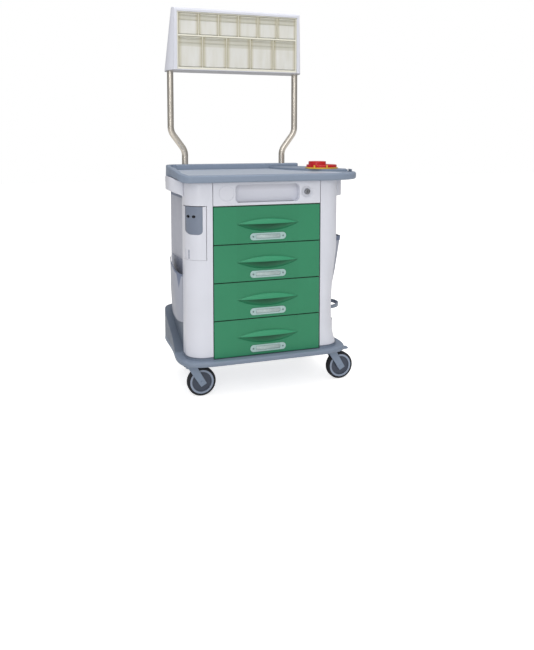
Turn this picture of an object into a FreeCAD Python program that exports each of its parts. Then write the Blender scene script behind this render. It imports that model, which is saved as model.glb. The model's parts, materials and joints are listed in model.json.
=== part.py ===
import FreeCAD, Part
import math
import os

from FreeCAD import Vector

# Hospital procedure trolley: four-drawer cabinet on casters with a bridge of tilting bins.
# Millimetres. Modelled with X to the right, Y from the drawer fronts to the back and Z up,
# then moved so that the origin is the middle of the footprint on the floor.
ORIGIN_X = 28.7
ORIGIN_Y = 265.0

# Cabinet
DECK_Z = 170.0              # top of the base moulding, where the cabinet stands
CABINET_TOP = 926.0         # underside of the worktop
CARCASS_HALF = 246.0
CARCASS_FRONT = 22.0
CARCASS_BACK = 470.0
SHEET = 2.0
PANEL_BACK = CARCASS_BACK - SHEET
PANEL_SCREW_X = 276.0
PANEL_SCREW_Z = (240.0, 440.0, 640.0, 840.0)
SIDE_X = 337.0              # outer face of the side skins

# Drawers
DRAWER_COUNT = 4
DRAWER_PITCH = 163.2
DRAWER_TOP = 823.0
DRAWER_GAP = 2.0
DRAWER_HALF = 242.0
FRONT_THICK = 20.0
GRIP_HALF = 142.0
GRIP_RIDGE = 77.0           # ridge of the grip below the drawer's top edge
GRIP_ABOVE = 23.0
GRIP_BELOW = 33.0
GRIP_OUT = 15.0
GRIP_IN = 14.0
LABEL_DROP = 132.5          # centre of the label holder below the drawer's top edge
LABEL_HALF = 82.0
LABEL_HEIGHT = 31.0
LABEL_THICK = 3.0
TRAY_HALF = 226.0
TRAY_BACK = 452.0
RUNNER_DROP = 80.0
RUNNER_HALF_HEIGHT = 12.0

# Corner columns
COLUMN_INNER = 246.0
COLUMN_OUTER = 350.0
COLUMN_RADIUS = 75.0
COLUMN_BACK = 118.0
COLUMN_WALL = 4.0
SCALLOP_TOP = 655.0
SCALLOP = ((170.0, 349.0), (200.0, 343.0), (240.0, 333.0), (300.0, 325.0), (350.0, 323.0),
           (420.0, 327.0), (500.0, 336.0), (590.0, 347.0), (655.0, 350.0))

# Door in the left column
DOOR_RIGHT = -273.6
DOOR_BACK = 95.0
DOOR_LOW = 600.0
DOOR_HIGH = 826.0
DOOR_THICK = 3.5
DOOR_GAP = 2.0
DOOR_TOP_GAP = 3.0
DOOR_PIVOT_X = -276.5
DOOR_PIVOT_Y = 3.0
DOOR_PIN = 1.5
DOOR_KNUCKLE = 3.0

# Base
BASE_BOTTOM = 150.0
BASE_OUTLINE = ((0.0, -38.0), (180.0, -37.0), (290.0, -33.0), (357.0, -8.0), (386.0, 60.0),
                (385.0, 140.0), (378.0, 220.0), (376.0, 320.0), (375.0, 400.0),
                (360.0, 463.0), (308.0, 491.0), (160.0, 497.0), (0.0, 498.0))
# how the rear guards rise, as (y, z)
GUARD_RISE = ((240.0, 167.0), (320.0, 174.0), (385.0, 203.0), (428.0, 247.0), (462.0, 274.0),
              (520.0, 280.0))
WING_RISE = ((119.0, 167.0), (165.0, 186.0), (225.0, 211.0), (330.0, 252.0), (420.0, 291.0),
             (470.0, 305.0), (530.0, 305.0))
WING_INSET = 1.0
KICK_TOP = 306.0            # top of the kick plate on the left side skin
KICK_THICK = 4.0
PLINTH_TOP = 182.0          # the columns stand on low plinths of the base
PLINTH_LEDGE = 1.5

# Casters
WHEEL_RADIUS = 62.5
WHEEL_WIDTH = 30.0
WHEEL_TRAIL = 42.0
SWIVEL_FRONT_X = 328.0
SWIVEL_FRONT_Y = 60.0
SWIVEL_BACK_X = 290.0
SWIVEL_BACK_Y = 405.0
FORK_TOP = 145.5
RUN_FIT = 0.05
CASTERS = (("front_left", -SWIVEL_FRONT_X, SWIVEL_FRONT_Y),
           ("front_right", SWIVEL_FRONT_X, SWIVEL_FRONT_Y),
           ("rear_left", -SWIVEL_BACK_X, SWIVEL_BACK_Y),
           ("rear_right", SWIVEL_BACK_X, SWIVEL_BACK_Y))
BRAKED = ("front_right", "rear_left")
PEDAL_PIVOT = 31.0
PEDAL_Z = 137.0
PEDAL_PIN = 2.5

# Bridge
TUBE_RADIUS = 15.0
TUBE_WALL = 1.5
TUBE_Y = 505.0
TUBE_LOW_X = 250.0
TUBE_HIGH_X = 318.5
TUBE_BOTTOM = 930.0
TUBE_BEND_LOW = 1050.0
TUBE_BEND_HIGH = 1142.0
TUBE_BEND_RADIUS = 70.0
TUBE_TOP = 1470.0
HOUSING_FRONT = 425.0
HOUSING_LOW = 1430.0
HOUSING_HIGH = 1718.0
HOUSING_BACK_LOW = 568.0
HOUSING_BACK_HIGH = 472.0
HOUSING_WALL = 3.0
SOCKET_TOP = 1476.0         # the cheeks are solid up to here, round the ends of the uprights
CHEEK_LOW = ((316.0, HOUSING_FRONT), (330.0, 455.0), (340.0, 492.0), (340.0, 533.0),
             (328.0, HOUSING_BACK_LOW))
CHEEK_HIGH = ((312.0, HOUSING_FRONT), (318.0, 438.0), (320.5, 448.0), (320.5, 458.0),
              (316.0, HOUSING_BACK_HIGH))
FRAME_HALF = 300.0
FRAME_LOW = 1433.5
FRAME_HIGH = 1700.0
FRAME_FRONT = 429.0
BIN_ROWS = (("lower", 5, 1444.0, 1587.0, 82.0), ("upper", 6, 1595.0, 1694.0, 38.0))
BIN_PIVOT_INSET = 5.0
BIN_WALL = 2.0
PEG_RADIUS = 2.0

# Worktop
RIM_Z = 958.0
TRAY_FLOOR_Z = 955.0
UPSTAND_Z = 984.0
TOP_OUTLINE = ((-335.0, -24.0), (-180.0, -27.0), (0.0, -28.0), (180.0, -27.0), (325.0, -25.0),
               (385.0, -4.0), (438.0, 44.0), (462.0, 105.0), (455.0, 170.0), (428.0, 245.0),
               (400.0, 330.0), (386.0, 420.0), (366.0, 496.0), (318.0, 524.0), (160.0, 529.0),
               (0.0, 530.0), (-160.0, 529.0), (-296.0, 524.0), (-338.0, 500.0), (-357.0, 420.0),
               (-374.0, 330.0), (-388.0, 230.0), (-391.0, 140.0), (-388.0, 65.0), (-372.0, 4.0))
TRAY_OUTLINE = ((-370.0, 40.0), (-350.0, -6.0), (330.0, -6.0), (370.0, 40.0), (330.0, 128.0),
                (262.0, 205.0), (215.0, 300.0), (190.0, 400.0), (177.0, 478.0), (-320.0, 478.0),
                (-340.0, 420.0), (-371.0, 230.0))
PLATFORM_OUTLINE = ((176.0, 484.0), (190.0, 400.0), (215.0, 300.0), (262.0, 205.0),
                    (330.0, 128.0), (400.0, 90.0), (480.0, 90.0), (480.0, 530.0), (176.0, 530.0))
PLATFORM_INSET = (0.965, 0.955)     # how far the platform keeps inside the rim, as a scale
# left edge of the worktop, rising toward the upstand, and the finger room under it, as (y, z)
LEFT_RIM_RISE = ((-6.0, RIM_Z), (80.0, 974.0), (180.0, UPSTAND_Z), (540.0, UPSTAND_Z))
FINGER_ROOM_RISE = ((0.0, CABINET_TOP), (70.0, 948.0), (345.0, 948.0))
FINGER_ROOM_X = 350.0
LEFT_RIM_INSET = 0.9985     # the raised edge keeps just inside the slab, as a scale
OUTLINE_MIDDLE = (35.0, 250.0)

# Push handles, outer face in plan as (x, y, inward x, inward y)
HANDLE_LINE = ((340.0, 86.0, 0.0, 1.0), (380.0, 93.0, -0.5, 0.85), (401.0, 120.0, -0.95, 0.3),
               (405.0, 166.0, -1.0, 0.0), (402.0, 220.0, -1.0, -0.1), (389.0, 262.0, -0.9, -0.4),
               (364.0, 291.0, -0.55, -0.85), (337.0, 303.0, 0.0, -1.0))
HANDLE_THICK = 13.0
HANDLE_HIGH = 921.0
LEFT_HANDLE_LOW = 862.0
RIGHT_HANDLE_LOW = 848.0
HANDLE_LIFT = 0.45          # rise of the left handle for each millimetre outward
HANDLE_ROOT_X = 345.0

# Side pockets, as (z, reach from the middle of the cabinet), and their rims as (y, z)
POCKET_FRONT = COLUMN_BACK + 3.0
POCKET_WALL = 3.0
TALL_POCKET_BACK = 400.0
TALL_POCKET_LEVELS = ((310.0, 364.0), (350.0, 370.0), (430.0, 375.0), (600.0, 378.0))
TALL_POCKET_RIM = ((108.0, 516.0), (118.0, 520.0), (200.0, 548.0), (300.0, 562.0),
                   (420.0, 572.0), (420.0, 640.0), (108.0, 640.0))
TALL_POCKET_PLATE = ((POCKET_FRONT, 480.0), (TALL_POCKET_BACK, 480.0), (TALL_POCKET_BACK, 567.0),
                     (POCKET_FRONT, 580.0))
BOX_POCKET_BACK = 320.0
BOX_POCKET_CORNER = 8.0
BOX_POCKET_LEVELS = ((380.0, 352.0), (500.0, 377.0), (635.0, 399.0), (635.6, 401.0),
                     (670.0, 406.0))
BOX_POCKET_RIM = ((108.0, 656.0), (350.0, 663.0), (350.0, 700.0), (108.0, 700.0))

# Gas bottle ring and cup on the right side
BOTTLE_X = 342.0
BOTTLE_Y = 196.0
BOTTLE_RING_RADIUS = 78.0
BOTTLE_RING_Z = (314.0, 330.0)
BOTTLE_CUP_RADIUS = 50.0

# Sharps container let into the worktop
SHARPS_X = 344.0
SHARPS_Y = 215.0
SHARPS_BRIM = 77.0
SHARPS_CAP = 41.0
SHARPS_TAB_ANGLES = (-140.0, -94.0)
PLATFORM_Z = 968.0

# Lock in the fascia
LOCK_X = 183.0
LOCK_Z = 878.0


def box(x0, x1, y0, y1, z0, z1):
    return Part.makeBox(x1 - x0, y1 - y0, z1 - z0, Vector(x0, y0, z0))


def cylinder(start, radius, length, axis):
    return Part.makeCylinder(radius, length, Vector(*start), Vector(*axis))


def join(shapes):
    return shapes[0].multiFuse(shapes[1:]).removeSplitter()


def mirrored(shape):
    return shape.mirror(Vector(0, 0, 0), Vector(1, 0, 0))


def plan_prism(points, z0, z1):
    """Straight-sided outline in plan, extruded upward."""
    corners = [Vector(x, y, z0) for x, y in points]
    wire = Part.makePolygon(corners + [corners[0]])
    return Part.Face(wire).extrude(Vector(0, 0, z1 - z0))


def side_prism(points, x0, x1):
    """Straight-sided outline in the Y-Z plane, extruded sideways."""
    corners = [Vector(x0, y, z) for y, z in points]
    wire = Part.makePolygon(corners + [corners[0]])
    return Part.Face(wire).extrude(Vector(x1 - x0, 0, 0))


def front_prism(points, y0, y1):
    """Straight-sided outline in the X-Z plane, extruded backward."""
    corners = [Vector(x, y0, z) for x, z in points]
    wire = Part.makePolygon(corners + [corners[0]])
    return Part.Face(wire).extrude(Vector(0, y1 - y0, 0))


def round_edges(shape, radius, chosen):
    edges = [edge for edge in shape.Edges if chosen(edge)]
    return shape.makeFillet(radius, edges)


def is_upright(edge):
    bounds = edge.BoundBox
    return bounds.XLength < 1e-3 and bounds.YLength < 1e-3


def runs_along_y(edge):
    bounds = edge.BoundBox
    return bounds.XLength < 1e-3 and bounds.ZLength < 1e-3


def lies_at_z(level):
    def test(edge):
        return abs(edge.BoundBox.ZMin - level) < 1e-3 and abs(edge.BoundBox.ZMax - level) < 1e-3
    return test


def lies_at_y(level):
    def test(edge):
        return abs(edge.BoundBox.YMin - level) < 1e-3 and abs(edge.BoundBox.YMax - level) < 1e-3
    return test


def smooth_loop(points, z):
    curve = Part.BSplineCurve()
    curve.interpolate(Points=[Vector(x, y, z) for x, y in points], PeriodicFlag=True)
    return Part.Wire([curve.toShape()])


def stadium(x0, x1, z_mid, height, y0, y1):
    """Plate with round ends in the X-Z plane."""
    radius = height / 2.0
    length = y1 - y0
    middle = box(x0 + radius, x1 - radius, y0, y1, z_mid - radius, z_mid + radius)
    ends = [cylinder((x, y0, z_mid), radius, length, (0, 1, 0)) for x in (x0 + radius, x1 - radius)]
    return join([middle] + ends)


# ---------------------------------------------------------------- base moulding

def half_outline_inset(inset):
    """Right half of the base outline, moved inward along its own normals."""
    moved = []
    last = len(BASE_OUTLINE) - 1
    for index, (x, y) in enumerate(BASE_OUTLINE):
        before = BASE_OUTLINE[max(index - 1, 0)]
        after = BASE_OUTLINE[min(index + 1, last)]
        along = Vector(after[0] - before[0], after[1] - before[1], 0).normalize()
        if index in (0, last):
            along = Vector(1 if index == 0 else -1, 0, 0)
        moved.append((x - along.y * inset, y + along.x * inset))
    return moved


def base_prism(inset, z0, z1):
    points = [Vector(x, y, z0) for x, y in half_outline_inset(inset)]
    right = Part.BSplineCurve()
    right.interpolate(Points=points, InitialTangent=Vector(1, 0, 0), FinalTangent=Vector(-1, 0, 0))
    right_edge = right.toShape()
    wire = Part.Wire([right_edge, mirrored(right_edge)])
    return Part.Face(wire).extrude(Vector(0, 0, z1 - z0))


def make_base():
    slab = base_prism(0.0, BASE_BOTTOM, DECK_Z)
    slab = round_edges(slab, 9.0, lies_at_z(DECK_Z))
    slab = round_edges(slab, 6.0, lies_at_z(BASE_BOTTOM))
    hollow = base_prism(9.0, BASE_BOTTOM - 1.0, DECK_Z - 6.0)
    for _, x, y in CASTERS:
        hollow = hollow.cut(cylinder((x, y, BASE_BOTTOM - 2.0), 36.0, 30.0, (0, 0, 1)))
    slab = slab.cut(hollow)
    plinth = Part.Face(column_section(COLUMN_OUTER, -PLINTH_LEDGE, DECK_Z - 1.0))
    plinth = plinth.extrude(Vector(0, 0, PLINTH_TOP - DECK_Z + 1.0))
    keep_out = box(-COLUMN_INNER, COLUMN_INNER, -20.0, 200.0, DECK_Z, PLINTH_TOP)
    behind = box(200.0, 400.0, COLUMN_BACK, 200.0, DECK_Z, PLINTH_TOP)
    plinth = plinth.cut(keep_out).cut(behind)
    guard = make_guard(GUARD_RISE, base_prism(10.0, DECK_Z - 3.0, 310.0).cut(base_prism(22.0, 160.0, 311.0)))
    guard = guard.cut(box(-500.0, 0.0, 0.0, 600.0, 100.0, 400.0))
    wing = make_guard(WING_RISE, base_prism(WING_INSET, DECK_Z - 3.0, 310.0))
    wing = wing.cut(box(0.0, 500.0, 0.0, 600.0, 100.0, 400.0)).cut(skin_space())
    kick = box(-SIDE_X - KICK_THICK, -SIDE_X - 0.3, COLUMN_BACK + 0.5, 426.0, DECK_Z - 1.0, KICK_TOP)
    return join([slab, plinth, mirrored(plinth), guard, wing, kick])


def make_guard(rise, solid):
    """What is left of a solid under a curve that rises toward the back, ending short of its middle."""
    swoop = Part.BSplineCurve()
    swoop.interpolate([Vector(-420.0, y, z) for y, z in rise])
    (front_y, front_z), (back_y, back_z) = rise[0], rise[-1]
    corners = [Vector(-420.0, back_y, back_z), Vector(-420.0, back_y, 160.0),
               Vector(-420.0, front_y, 160.0), Vector(-420.0, front_y, front_z)]
    profile = Part.Face(Part.Wire([swoop.toShape()] + list(Part.makePolygon(corners).Edges)))
    guard = solid.common(profile.extrude(Vector(840.0, 0, 0)))
    return guard.cut(box(-262.0, 262.0, 400.0, 540.0, 160.0, 320.0))


def skin_space():
    """Room for the left side skin, and for the panel screws on the back."""
    def is_rear_corner(edge):
        return is_upright(edge) and edge.BoundBox.XMax < -300.0 and edge.BoundBox.YMin > 400.0

    room = box(-SIDE_X - 0.3, 0.0, 0.0, PANEL_BACK + 0.3, DECK_Z, 400.0)
    room = round_edges(room, 42.0, is_rear_corner)
    return room.fuse(box(-297.0, 0.0, 400.0, CARCASS_BACK + 3.5, DECK_Z, 400.0))


# ---------------------------------------------------------------- casters

def make_caster_heads():
    heads = []
    for _, x, y in CASTERS:
        plate = cylinder((x, y, FORK_TOP + 0.5), 30.0, BASE_BOTTOM - FORK_TOP - 0.5, (0, 0, 1))
        stem = cylinder((x, y, 130.0), 9.0, 18.0, (0, 0, 1))
        heads.append(join([plate, stem]))
    return Part.makeCompound(heads)


def make_fork(x, y, braked):
    crown = box(x - 26.0, x + 24.0, y - 24.0, y + 24.0, 127.5, FORK_TOP)
    crown = round_edges(crown, 16.0, is_upright)
    neck = cylinder((x, y, 127.5), 26.0, FORK_TOP - 127.5, (0, 0, 1))
    axle_z = WHEEL_RADIUS
    axle_x = x + WHEEL_TRAIL
    pieces = [crown, neck]
    for side in (-1, 1):
        inner = y + side * (WHEEL_WIDTH / 2.0 + 2.0)
        outer = y + side * (WHEEL_WIDTH / 2.0 + 8.0)
        y0, y1 = min(inner, outer), max(inner, outer)
        outline = ((x - 26.0, FORK_TOP - 6.0), (x + 16.0, FORK_TOP - 6.0), (axle_x + 19.0, axle_z - 5.0),
                   (axle_x - 5.0, axle_z - 19.0))
        arm = front_prism(outline, y0, y1)
        foot = cylinder((axle_x, y0, axle_z), 13.0, y1 - y0, (0, 1, 0))
        pieces += [arm, foot]
    half = WHEEL_WIDTH / 2.0 + 10.0
    pieces.append(cylinder((axle_x, y - half, axle_z), 6.0, 2.0 * half, (0, 1, 0)))
    if braked:
        for y0 in (y - 23.0, y + 18.0):
            pieces.append(box(x + 14.0, x + 36.0, y0, y0 + 5.0, 131.0, 143.0))
        pieces.append(cylinder((x + PEDAL_PIVOT, y - 23.0, PEDAL_Z), PEDAL_PIN, 46.0, (0, 1, 0)))
    fork = join(pieces)
    bore = cylinder((x, y, 120.0), 9.0 + RUN_FIT, 40.0, (0, 0, 1))
    return fork.cut(bore)


def make_tyre(x, y):
    centre = (x + WHEEL_TRAIL, y - WHEEL_WIDTH / 2.0, WHEEL_RADIUS)
    tyre = cylinder(centre, WHEEL_RADIUS, WHEEL_WIDTH, (0, 1, 0))
    tyre = round_edges(tyre, 7.0, lambda edge: edge.BoundBox.XLength > 100.0)
    return tyre.cut(cylinder((centre[0], centre[1] - 1.0, centre[2]), 52.0, WHEEL_WIDTH + 2.0, (0, 1, 0)))


def make_wheel_centre(x, y):
    axle_x = x + WHEEL_TRAIL
    front = y - WHEEL_WIDTH / 2.0
    rim = cylinder((axle_x, front + 0.5, WHEEL_RADIUS), 52.0, WHEEL_WIDTH - 1.0, (0, 1, 0))
    for start in (front - 1.0, y + 8.5):
        rim = rim.cut(cylinder((axle_x, start, WHEEL_RADIUS), 43.0, 7.5, (0, 1, 0)))
    hub = cylinder((axle_x, front, WHEEL_RADIUS), 15.0, WHEEL_WIDTH, (0, 1, 0))
    wheel = join([rim, hub])
    bore = cylinder((axle_x, front - 1.0, WHEEL_RADIUS), 6.0 + RUN_FIT, WHEEL_WIDTH + 2.0, (0, 1, 0))
    return wheel.cut(bore)


def make_pedal(x, y):
    """Brake lever over the wheel, hinged on a pin between two lugs of the fork."""
    outline = ((x + 27.5, 133.0), (x + 35.0, 133.0), (x + 60.0, 137.0), (x + 84.0, 139.0), (x + 84.0, 143.0),
               (x + 58.0, 143.0), (x + 35.0, 141.0), (x + 27.5, 141.0))
    lever = front_prism(outline, y - 17.0, y + 17.0)
    tip = x + 84.0
    lever = round_edges(lever, 10.0, lambda e: e.BoundBox.XMin > tip - 0.5 and e.BoundBox.YLength < 1e-3)
    return lever.cut(cylinder((x + PEDAL_PIVOT, y - 20.0, PEDAL_Z), PEDAL_PIN + RUN_FIT, 40.0, (0, 1, 0)))


# ---------------------------------------------------------------- cabinet

def make_carcass():
    shell = box(-CARCASS_HALF, CARCASS_HALF, CARCASS_FRONT, CARCASS_BACK, DECK_Z, CABINET_TOP)
    room = box(-CARCASS_HALF + SHEET, CARCASS_HALF - SHEET, CARCASS_FRONT - 1.0, CARCASS_BACK - SHEET,
               DECK_Z + SHEET, CABINET_TOP - SHEET)
    shelf = box(-CARCASS_HALF + SHEET, CARCASS_HALF - SHEET, CARCASS_FRONT, CARCASS_BACK - SHEET,
                DRAWER_TOP + 2.0, DRAWER_TOP + 2.0 + SHEET)
    flanges = []
    for side in (-1, 1):
        x0, x1 = sorted((side * (CARCASS_HALF - SHEET), side * 292.0))
        flanges.append(box(x0, x1, CARCASS_BACK - SHEET, CARCASS_BACK, 200.0, 900.0))
    carcass = join([shell.cut(room), shelf] + flanges)
    return drill_panel_screws(carcass)


def panel_screw_places():
    return [(side * PANEL_SCREW_X, z) for side in (-1, 1) for z in PANEL_SCREW_Z]


def drill_panel_screws(shape):
    for x, z in panel_screw_places():
        shape = shape.cut(cylinder((x, PANEL_BACK - 10.0, z), 2.1, 20.0, (0, 1, 0)))
    return shape


def make_panel_screws():
    screws = []
    for x, z in panel_screw_places():
        head = cylinder((x, CARCASS_BACK, z), 4.2, 2.6, (0, 1, 0))
        head = round_edges(head, 1.2, lies_at_y(CARCASS_BACK + 2.6))
        shank = cylinder((x, PANEL_BACK - 6.0, z), 2.0, 8.5, (0, 1, 0))
        slot = box(x - 2.6, x + 2.6, CARCASS_BACK + 1.6, CARCASS_BACK + 4.0, z - 0.5, z + 0.5)
        screws.append(join([head, shank]).cut(slot))
    return Part.makeCompound(screws)


def make_side_panel():
    """Right side skin: flat side, rounded rear corner and a return onto the back."""
    inner_x = SIDE_X - 3.0

    def is_rear_corner(edge):
        return is_upright(edge) and edge.BoundBox.XMin > inner_x - 1.0 and edge.BoundBox.YMin > 400.0

    outer = box(200.0, SIDE_X, COLUMN_BACK + 0.5, PANEL_BACK, DECK_Z, CABINET_TOP)
    outer = round_edges(outer, 42.0, is_rear_corner)
    inner = box(199.0, inner_x, COLUMN_BACK - 1.0, PANEL_BACK - 3.0, DECK_Z - 1.0, CABINET_TOP + 1.0)
    inner = round_edges(inner, 39.0, is_rear_corner)
    skin = outer.cut(inner).cut(box(190.0, CARCASS_HALF + 1.0, 0.0, 500.0, 0.0, 1000.0))
    return drill_panel_screws(skin)


def column_section(outer_x, inset, z):
    """Plan outline of a right-hand column with a rounded front corner."""
    inner_x = COLUMN_INNER + inset
    side_x = outer_x - inset
    front = inset
    back = COLUMN_BACK - inset
    radius = min(COLUMN_RADIUS, outer_x - COLUMN_INNER - 12.0) - inset
    centre_x = side_x - radius
    centre_y = front + radius
    diagonal = radius * math.sqrt(0.5)
    start = Vector(centre_x, front, z)
    middle = Vector(centre_x + diagonal, centre_y - diagonal, z)
    end = Vector(side_x, centre_y, z)
    corner = Part.Arc(start, middle, end).toShape()
    lines = Part.makePolygon([end, Vector(side_x, back, z), Vector(inner_x, back, z),
                              Vector(inner_x, front, z), start])
    return Part.Wire([corner] + list(lines.Edges))


def column_solid(inset, z0, z1):
    return Part.Face(column_section(COLUMN_OUTER, inset, z0)).extrude(Vector(0, 0, z1 - z0))


def scalloped_solid(inset):
    sections = [column_section(width, inset, z) for z, width in SCALLOP]
    return Part.makeLoft(sections, True, False)


def make_column_right():
    outer = join([scalloped_solid(0.0), column_solid(0.0, SCALLOP_TOP, CABINET_TOP)])
    inner = join([scalloped_solid(COLUMN_WALL), column_solid(COLUMN_WALL, SCALLOP_TOP, CABINET_TOP)])
    return outer.cut(inner).cut(box(200.0, 400.0, -50.0, 200.0, 100.0, PLINTH_TOP))


def door_pins(radius, overlap):
    """Upright pins that carry the column door, one at each end of its hinge edge."""
    low = cylinder((DOOR_PIVOT_X, DOOR_PIVOT_Y, DOOR_LOW - 4.0), radius, 12.0 + overlap, (0, 0, 1))
    high = cylinder((DOOR_PIVOT_X, DOOR_PIVOT_Y, DOOR_HIGH - 8.0 - overlap), radius, 15.0, (0, 0, 1))
    return [low, high]


def make_column_left():
    tube = column_solid(0.0, PLINTH_TOP, CABINET_TOP).cut(column_solid(COLUMN_WALL, PLINTH_TOP, CABINET_TOP))
    tube = mirrored(tube)
    doorway = box(-COLUMN_OUTER - 10.0, DOOR_RIGHT + DOOR_GAP, -10.0, DOOR_BACK + 0.8,
                  DOOR_LOW - 0.8, DOOR_HIGH + DOOR_TOP_GAP)
    floors = []
    for z in (DOOR_LOW - 5.0, DOOR_HIGH + DOOR_TOP_GAP):
        floors.append(mirrored(column_solid(COLUMN_WALL, z, z + 4.0)))
    return join([tube.cut(doorway)] + floors + door_pins(DOOR_PIN, 0.0))


def door_skin(outer_inset, inner_inset):
    skin = column_solid(outer_inset, DOOR_LOW, DOOR_HIGH).cut(column_solid(inner_inset, DOOR_LOW, DOOR_HIGH))
    return mirrored(skin).common(box(-COLUMN_OUTER - 5.0, DOOR_RIGHT, -5.0, DOOR_BACK, DOOR_LOW, DOOR_HIGH))


def insert_outline():
    slab = box(-349.0, -288.5, -20.0, 70.0, 708.0, DOOR_HIGH + 1.0)
    return round_edges(slab, 18.0, lambda e: runs_along_y(e) and e.BoundBox.ZMin < 710.0)


def corner_ray(x):
    """Point on the left column's round corner at x, and the outward direction there."""
    centre = Vector(-COLUMN_OUTER + COLUMN_RADIUS, COLUMN_RADIUS, 0)
    dx = x - centre.x
    point = Vector(x, centre.y - math.sqrt(COLUMN_RADIUS ** 2 - dx ** 2), 0)
    return point, (point - centre).normalize()


def radial_bore(x, z, radius, depth):
    point, outward = corner_ray(x)
    start = point + outward * 5.0
    return cylinder((start.x, start.y, z), radius, depth + 5.0, (-outward.x, -outward.y, 0))


def make_column_door():
    door = door_skin(0.0, DOOR_THICK).cut(insert_outline())
    knuckles = []
    for z in (DOOR_LOW, DOOR_HIGH - 12.0):
        knuckles.append(cylinder((DOOR_PIVOT_X, DOOR_PIVOT_Y, z), DOOR_KNUCKLE, 12.0, (0, 0, 1)))
    door = join([door] + knuckles)
    for bore in door_pins(DOOR_PIN + RUN_FIT, 0.5):
        door = door.cut(bore)
    for z in (608.0, 613.0, 618.0, 623.0, 628.0, 633.0, 638.0):
        door = door.cut(radial_bore(-348.0, z, 6.0, 2.0))
    return door


def make_door_insert():
    plate = door_skin(1.0, DOOR_THICK).common(insert_outline())
    for x in (-341.0, -323.0):
        plate = plate.cut(radial_bore(x, 784.0, 5.5, 20.0))
    return plate


def make_fascia():
    low = DRAWER_TOP + DRAWER_GAP
    half = 243.5
    panel = box(-half, half, 0.0, CARCASS_FRONT - 0.5, low, CABINET_TOP)
    panel = panel.cut(box(-half + 3.5, half - 3.5, 3.5, 30.0, low + 3.5, CABINET_TOP - 3.5))
    tub = box(-150.0, 150.0, 0.0, 34.0, 834.0, 920.0)
    boss = cylinder((LOCK_X, 0.0, LOCK_Z), 33.0, 14.0, (0, 1, 0))
    recess = box(-146.0, 146.0, -5.0, 30.5, 838.0, 915.0)
    recess = round_edges(recess, 18.0, runs_along_y)
    emboss = cylinder((-185.0, -0.1, 880.0), 34.0, 1.1, (0, 1, 0))
    emboss = emboss.cut(cylinder((-185.0, -1.0, 880.0), 31.5, 5.0, (0, 1, 0)))
    dish = Part.makeCone(29.0, 20.0, 7.0, Vector(LOCK_X, -0.01, LOCK_Z), Vector(0, 1, 0))
    bore = cylinder((LOCK_X, -5.0, LOCK_Z), 13.0, 40.0, (0, 1, 0))
    panel = join([panel, tub.cut(box(-200.0, 200.0, 21.5, 60.0, 800.0, 838.0)), boss])
    return panel.cut(recess).cut(emboss).cut(dish).cut(bore)


def make_lock_housing():
    barrel = cylinder((LOCK_X, -2.0, LOCK_Z), 13.0, 20.0, (0, 1, 0))
    barrel = round_edges(barrel, 2.0, lies_at_y(-2.0))
    return barrel.cut(cylinder((LOCK_X, -5.0, LOCK_Z), 8.5, 40.0, (0, 1, 0)))


def make_lock_core():
    core = cylinder((LOCK_X, -1.5, LOCK_Z), 8.5 - RUN_FIT, 21.5, (0, 1, 0))
    core = core.cut(box(LOCK_X - 1.0, LOCK_X + 1.0, -3.0, 8.0, LOCK_Z - 5.0, LOCK_Z + 5.0))
    cam = box(LOCK_X - 7.0, LOCK_X + 7.0, 20.0, 23.0, LOCK_Z - 7.0, LOCK_Z + 32.0)
    cam = round_edges(cam, 6.0, runs_along_y)
    return Part.makeCompound([core, cam])


# ---------------------------------------------------------------- drawers

def grip_wedge(ridge_z, height, depth):
    """Quarter of a bar pointed at both ends: up and out, or down and in if the height is negative."""
    ends = [Vector(-GRIP_HALF, 0, 0), Vector(0, 0, height), Vector(GRIP_HALF, 0, 0)]
    arc = Part.Arc(ends[0], ends[1], ends[2]).toShape()
    chord = Part.makeLine(ends[2], ends[0])
    turned = Part.Face(Part.Wire([arc, chord])).revolve(Vector(0, 0, 0), Vector(1, 0, 0), 90.0)
    squeeze = FreeCAD.Matrix()
    squeeze.scale(1.0, depth / abs(height), 1.0)
    wedge = turned.transformGeometry(squeeze)
    wedge.translate(Vector(0, 0, ridge_z))
    return wedge


def make_drawer_front(top):
    low = top - DRAWER_PITCH + DRAWER_GAP
    ridge = top - GRIP_RIDGE
    panel = box(-DRAWER_HALF, DRAWER_HALF, 0.0, FRONT_THICK, low, top)
    panel = round_edges(panel, 2.0, lies_at_y(0.0))
    brow = grip_wedge(ridge, GRIP_ABOVE, GRIP_OUT)
    scoop = grip_wedge(ridge, -GRIP_BELOW, GRIP_IN)
    front = join([panel.cut(scoop), brow])
    for x in (-LABEL_HALF + 14.0, LABEL_HALF - 14.0):
        front = front.cut(cylinder((x, -1.0, top - LABEL_DROP), 1.5, 8.0, (0, 1, 0)))
    return front


def make_label_holder(top):
    middle = top - LABEL_DROP
    plate = stadium(-LABEL_HALF, LABEL_HALF, middle, LABEL_HEIGHT, -LABEL_THICK, 0.0)
    plate = round_edges(plate, 1.2, lies_at_y(-LABEL_THICK))
    plate = plate.cut(stadium(-58.0, 58.0, middle, 19.0, -LABEL_THICK - 1.0, -LABEL_THICK + 1.4))
    solids = []
    for x in (-LABEL_HALF + 14.0, LABEL_HALF - 14.0):
        plate = plate.cut(cylinder((x, -5.0, middle), 1.5, 10.0, (0, 1, 0)))
        head = cylinder((x, -LABEL_THICK - 1.2, middle), 3.4, 1.2, (0, 1, 0))
        shank = cylinder((x, -LABEL_THICK, middle), 1.4, 9.0, (0, 1, 0))
        slot = box(x - 2.6, x + 2.6, -LABEL_THICK - 2.0, -LABEL_THICK - 0.6, middle - 0.4, middle + 0.4)
        solids.append(join([head, shank]).cut(slot))
    return Part.makeCompound([plate] + solids)


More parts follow.
